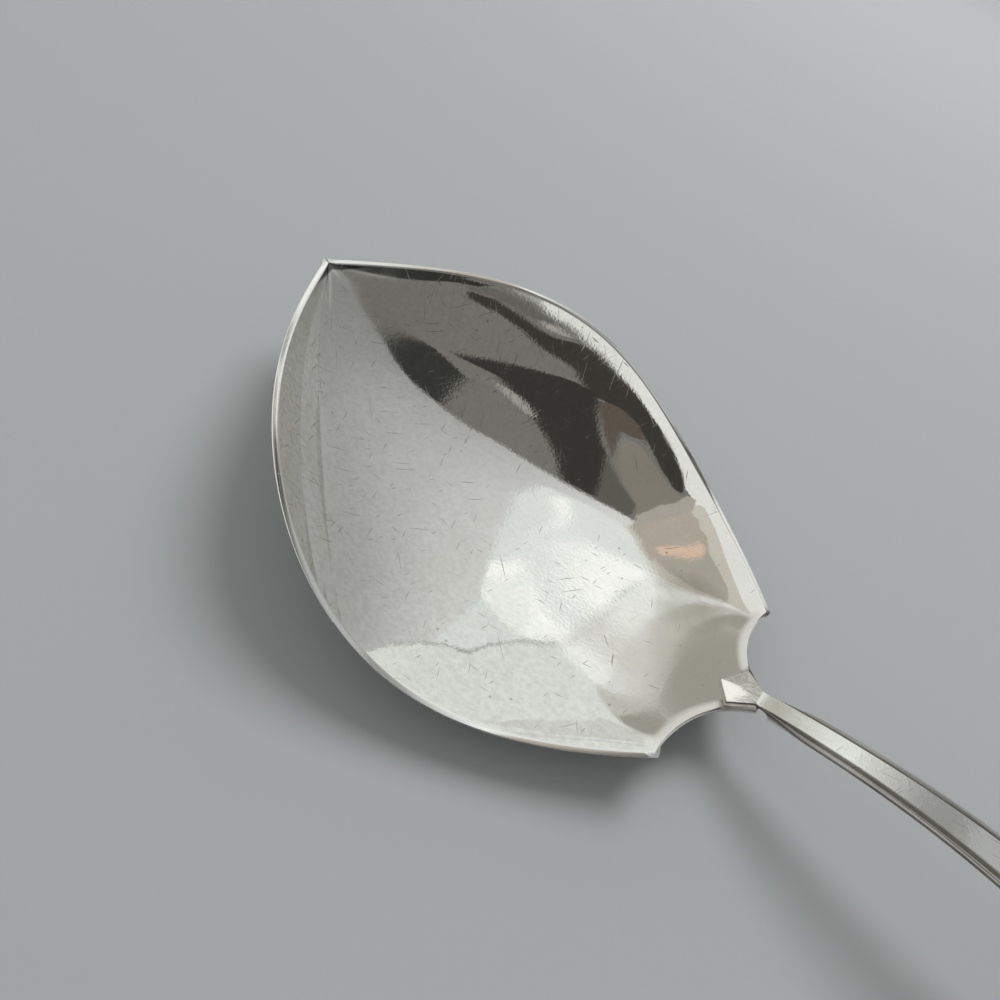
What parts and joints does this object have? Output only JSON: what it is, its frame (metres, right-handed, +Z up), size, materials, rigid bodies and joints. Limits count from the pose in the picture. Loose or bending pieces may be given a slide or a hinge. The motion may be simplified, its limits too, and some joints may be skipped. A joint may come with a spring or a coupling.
{
  "type": "jelly server",
  "caption": "Silver jelly server with a dished, pointed leaf bowl, notched shoulders and an arched, thread-edged handle soldered to the neck.",
  "frame": {"origin": "middle of the box the piece rests in, at table level", "axes": "+X from the bowl's tip to the handle's end, +Z up as the piece rests on a table"},
  "size_m": [0.156, 0.0526, 0.013],
  "materials": {
    "bowl_silver": "polished silver with fine wear scratches",
    "handle_silver": "polished silver, darker in the grooves",
    "solder": "dull grey solder"
  },
  "bodies": {
    "root": {"bowl": "bowl_silver", "handle": "handle_silver", "solder_seam": "solder"}
  },
  "joints": []
}
